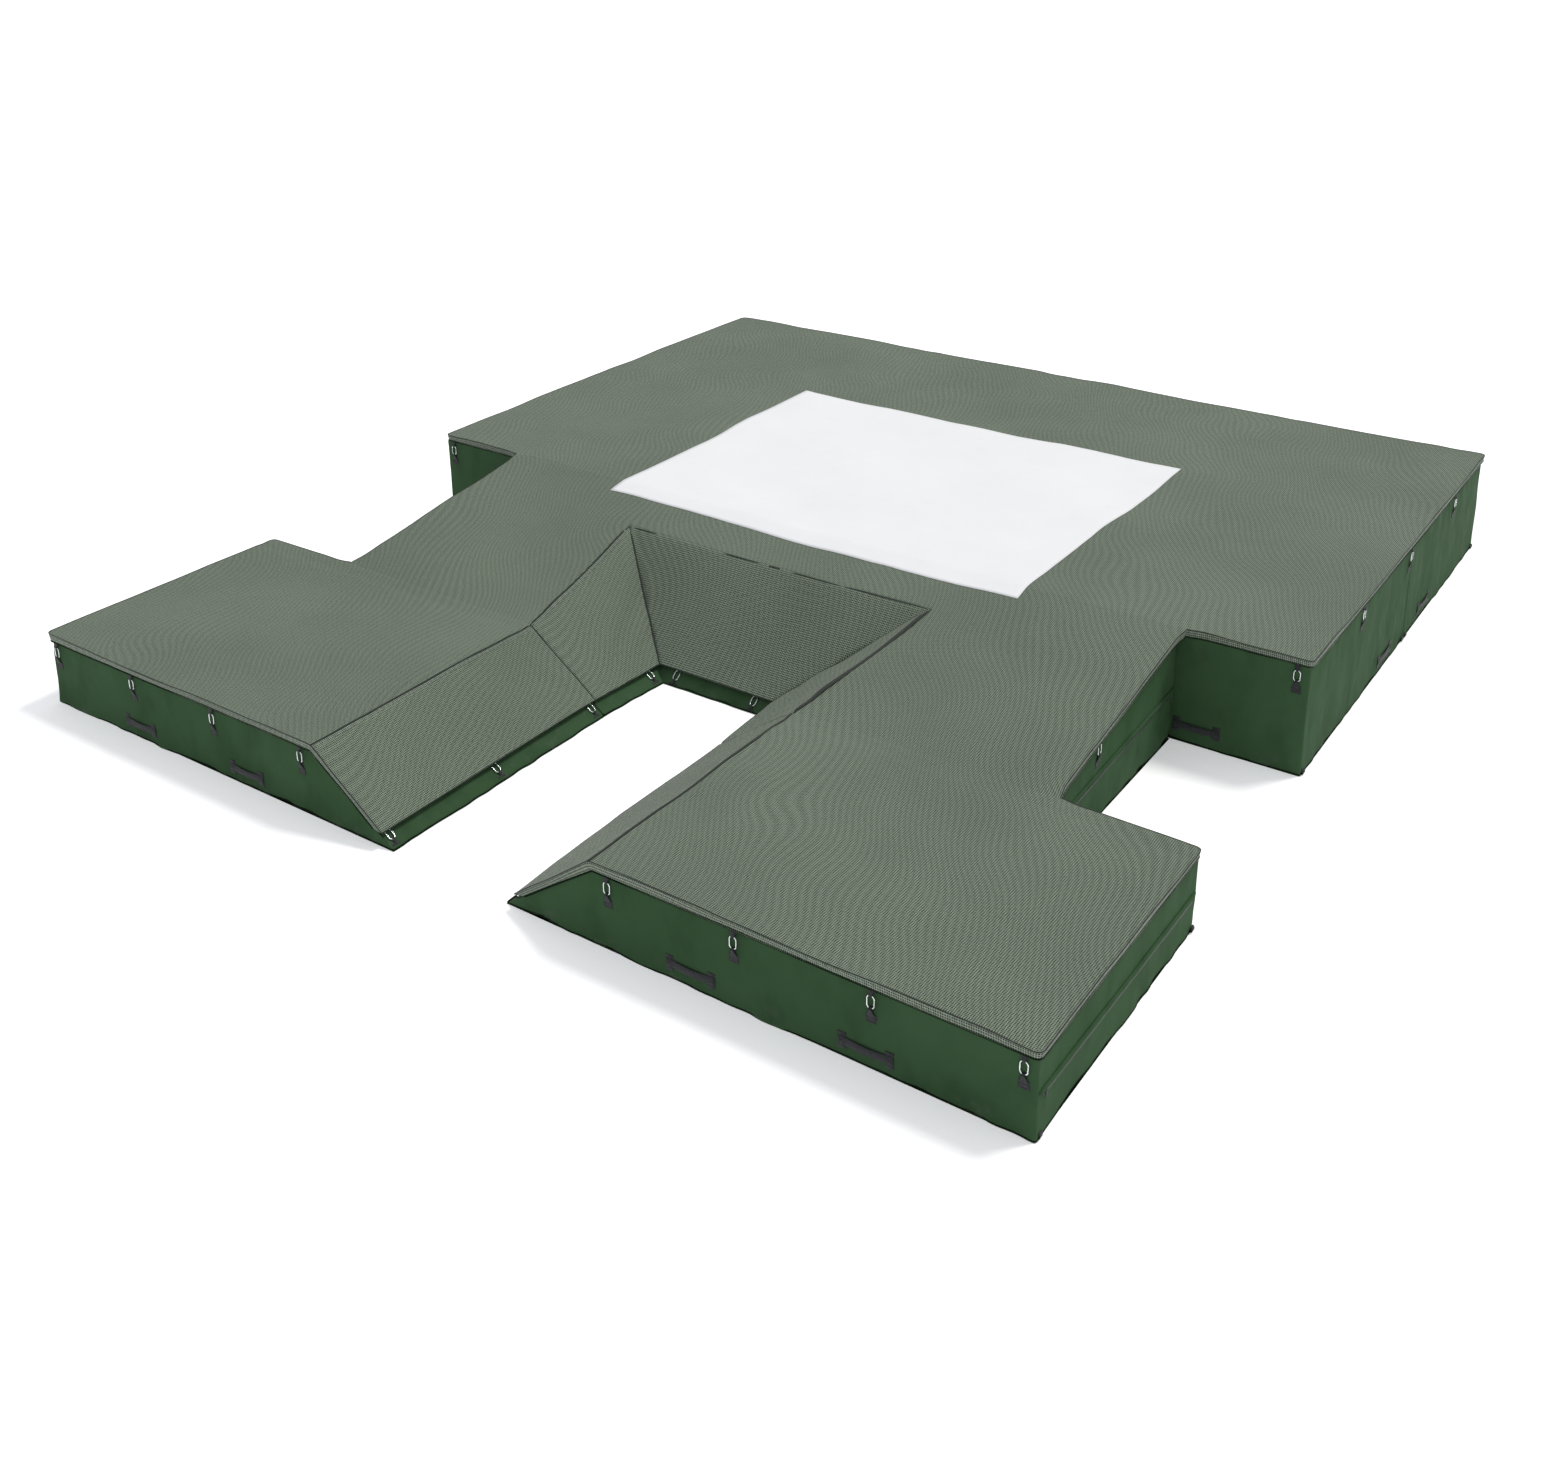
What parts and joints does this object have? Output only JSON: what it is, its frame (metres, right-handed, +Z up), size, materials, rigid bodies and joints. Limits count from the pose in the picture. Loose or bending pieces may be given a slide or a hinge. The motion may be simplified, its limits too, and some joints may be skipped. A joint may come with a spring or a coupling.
{
  "type": "pole vault landing pit",
  "caption": "Modular foam landing pit with a bevelled notch at the front, vinyl-covered base units and a clip-on mesh top pad with a white landing panel.",
  "frame": {"origin": "on the floor, under the middle of the pit's overall length and width", "axes": "+Y from the notched front to the back, +X to the right seen from the front, +Z up"},
  "size_m": [7.442, 8.133, 0.815],
  "materials": {
    "mesh": "matte",
    "vinyl": "satin",
    "foam": "matte",
    "webbing": "matte",
    "white_panel": "matte",
    "clip_steel": "polished",
    "zip": "satin"
  },
  "bodies": {
    "base": {"clip_loops": "webbing", "clip_patches": "webbing", "floor_loops": "webbing", "front_landing_core": "foam", "front_landing_cover": "vinyl", "handle_patches": "webbing", "handle_straps": "webbing", "left_middle_zip": "zip", "left_wing_core": "foam", "left_wing_cover": "vinyl", "left_wing_zip": "zip", "middle_core": "foam", "middle_cover": "vinyl", "rear_landing_core": "foam", "rear_landing_cover": "vinyl", "right_middle_zip": "zip", "right_wing_core": "foam", "right_wing_cover": "vinyl", "right_wing_zip": "zip"},
    "top_pad": {"fixed_gates": "clip_steel", "front_clips": "clip_steel", "hem_tabs": "webbing", "landing_panel": "white_panel", "pad_foam_landing": "foam", "pad_foam_left_middle": "foam", "pad_foam_left_notch_corner": "foam", "pad_foam_left_notch_side": "foam", "pad_foam_left_wing": "foam", "pad_foam_middle_crest": "foam", "pad_foam_notch_back": "foam", "pad_foam_right_middle": "foam", "pad_foam_right_notch_corner": "foam", "pad_foam_right_notch_side": "foam", "pad_foam_right_wing": "foam", "rear_clips": "clip_steel", "slope_clips": "clip_steel", "top_pad_cover": "mesh", "wall_clips": "clip_steel"},
    "left_wing_zip_slider": {"left_wing_zip_slider": "clip_steel"},
    "left_middle_zip_slider": {"left_middle_zip_slider": "clip_steel"},
    "right_wing_zip_slider": {"right_wing_zip_slider": "clip_steel"},
    "right_middle_zip_slider": {"right_middle_zip_slider": "clip_steel"},
    "front_gate_1": {"front_gate_1": "clip_steel"},
    "front_gate_2": {"front_gate_2": "clip_steel"},
    "front_gate_3": {"front_gate_3": "clip_steel"},
    "front_gate_4": {"front_gate_4": "clip_steel"},
    "front_gate_5": {"front_gate_5": "clip_steel"},
    "front_gate_6": {"front_gate_6": "clip_steel"},
    "front_gate_7": {"front_gate_7": "clip_steel"},
    "front_gate_8": {"front_gate_8": "clip_steel"},
    "wall_gate_1": {"wall_gate_1": "clip_steel"},
    "wall_gate_2": {"wall_gate_2": "clip_steel"},
    "wall_gate_3": {"wall_gate_3": "clip_steel"},
    "wall_gate_4": {"wall_gate_4": "clip_steel"},
    "wall_gate_5": {"wall_gate_5": "clip_steel"},
    "wall_gate_6": {"wall_gate_6": "clip_steel"},
    "wall_gate_7": {"wall_gate_7": "clip_steel"},
    "wall_gate_8": {"wall_gate_8": "clip_steel"},
    "wall_gate_9": {"wall_gate_9": "clip_steel"},
    "wall_gate_10": {"wall_gate_10": "clip_steel"}
  },
  "joints": [
    {"name": "top_pad_lift", "type": "slide", "parent": "base", "child": "top_pad", "axis": [0, 0, 1], "range_m": [0, 0.9], "deforming": ["clip_loops"]},
    {"name": "left_wing_zip", "type": "slide", "parent": "base", "child": "left_wing_zip_slider", "axis": [0, 0.9999, -0.0133], "range_m": [0, 1.75]},
    {"name": "left_middle_zip", "type": "slide", "parent": "base", "child": "left_middle_zip_slider", "axis": [0, 0.9989, 0.0462], "range_m": [0, 1.67]},
    {"name": "right_wing_zip", "type": "slide", "parent": "base", "child": "right_wing_zip_slider", "axis": [0, 0.9999, -0.0133], "range_m": [0, 1.75]},
    {"name": "right_middle_zip", "type": "slide", "parent": "base", "child": "right_middle_zip_slider", "axis": [0, 0.9989, 0.0462], "range_m": [0, 1.67]},
    {"name": "front_gate_1_hinge", "type": "hinge", "parent": "top_pad", "child": "front_gate_1", "pos_m": [-1.1795, -4.059, 0.384], "axis": [0, -1, 0], "range_deg": [0, 25], "stiffness_Nm_per_rad": 0.02, "springref_deg": -11.46},
    {"name": "front_gate_2_hinge", "type": "hinge", "parent": "top_pad", "child": "front_gate_2", "pos_m": [-1.9995, -4.059, 0.384], "axis": [0, -1, 0], "range_deg": [0, 25], "stiffness_Nm_per_rad": 0.02, "springref_deg": -11.46},
    {"name": "front_gate_3_hinge", "type": "hinge", "parent": "top_pad", "child": "front_gate_3", "pos_m": [-2.8095, -4.059, 0.384], "axis": [0, -1, 0], "range_deg": [0, 25], "stiffness_Nm_per_rad": 0.02, "springref_deg": -11.46},
    {"name": "front_gate_4_hinge", "type": "hinge", "parent": "top_pad", "child": "front_gate_4", "pos_m": [-3.6195, -4.059, 0.384], "axis": [0, -1, 0], "range_deg": [0, 25], "stiffness_Nm_per_rad": 0.02, "springref_deg": -11.46},
    {"name": "front_gate_5_hinge", "type": "hinge", "parent": "top_pad", "child": "front_gate_5", "pos_m": [1.2205, -4.059, 0.384], "axis": [0, -1, 0], "range_deg": [0, 25], "stiffness_Nm_per_rad": 0.02, "springref_deg": -11.46},
    {"name": "front_gate_6_hinge", "type": "hinge", "parent": "top_pad", "child": "front_gate_6", "pos_m": [2.0405, -4.059, 0.384], "axis": [0, -1, 0], "range_deg": [0, 25], "stiffness_Nm_per_rad": 0.02, "springref_deg": -11.46},
    {"name": "front_gate_7_hinge", "type": "hinge", "parent": "top_pad", "child": "front_gate_7", "pos_m": [2.8505, -4.059, 0.384], "axis": [0, -1, 0], "range_deg": [0, 25], "stiffness_Nm_per_rad": 0.02, "springref_deg": -11.46},
    {"name": "front_gate_8_hinge", "type": "hinge", "parent": "top_pad", "child": "front_gate_8", "pos_m": [3.6605, -4.059, 0.384], "axis": [0, -1, 0], "range_deg": [0, 25], "stiffness_Nm_per_rad": 0.02, "springref_deg": -11.46},
    {"name": "wall_gate_1_hinge", "type": "hinge", "parent": "top_pad", "child": "wall_gate_1", "pos_m": [-2.829, -1.4825, 0.48999], "axis": [-1, 0, 0], "range_deg": [0, 25], "stiffness_Nm_per_rad": 0.02, "springref_deg": -11.46},
    {"name": "wall_gate_2_hinge", "type": "hinge", "parent": "top_pad", "child": "wall_gate_2", "pos_m": [-3.5795, -0.278, 0.682], "axis": [0, -1, 0], "range_deg": [0, 25], "stiffness_Nm_per_rad": 0.02, "springref_deg": -11.46},
    {"name": "wall_gate_3_hinge", "type": "hinge", "parent": "top_pad", "child": "wall_gate_3", "pos_m": [-3.691, 0.7965, 0.682], "axis": [-1, 0, 0], "range_deg": [0, 25], "stiffness_Nm_per_rad": 0.02, "springref_deg": -11.46},
    {"name": "wall_gate_4_hinge", "type": "hinge", "parent": "top_pad", "child": "wall_gate_4", "pos_m": [-3.691, 1.9395, 0.682], "axis": [-1, 0, 0], "range_deg": [0, 25], "stiffness_Nm_per_rad": 0.02, "springref_deg": -11.46},
    {"name": "wall_gate_5_hinge", "type": "hinge", "parent": "top_pad", "child": "wall_gate_5", "pos_m": [-3.691, 3.1585, 0.682], "axis": [-1, 0, 0], "range_deg": [0, 25], "stiffness_Nm_per_rad": 0.02, "springref_deg": -11.46},
    {"name": "wall_gate_6_hinge", "type": "hinge", "parent": "top_pad", "child": "wall_gate_6", "pos_m": [2.829, -1.4415, 0.48999], "axis": [1, 0, 0], "range_deg": [0, 25], "stiffness_Nm_per_rad": 0.02, "springref_deg": -11.46},
    {"name": "wall_gate_7_hinge", "type": "hinge", "parent": "top_pad", "child": "wall_gate_7", "pos_m": [3.6205, -0.278, 0.682], "axis": [0, -1, 0], "range_deg": [0, 25], "stiffness_Nm_per_rad": 0.02, "springref_deg": -11.46},
    {"name": "wall_gate_8_hinge", "type": "hinge", "parent": "top_pad", "child": "wall_gate_8", "pos_m": [3.691, 0.8375, 0.682], "axis": [1, 0, 0], "range_deg": [0, 25], "stiffness_Nm_per_rad": 0.02, "springref_deg": -11.46},
    {"name": "wall_gate_9_hinge", "type": "hinge", "parent": "top_pad", "child": "wall_gate_9", "pos_m": [3.691, 1.9805, 0.682], "axis": [1, 0, 0], "range_deg": [0, 25], "stiffness_Nm_per_rad": 0.02, "springref_deg": -11.46},
    {"name": "wall_gate_10_hinge", "type": "hinge", "parent": "top_pad", "child": "wall_gate_10", "pos_m": [3.691, 3.1995, 0.682], "axis": [1, 0, 0], "range_deg": [0, 25], "stiffness_Nm_per_rad": 0.02, "springref_deg": -11.46}
  ]
}
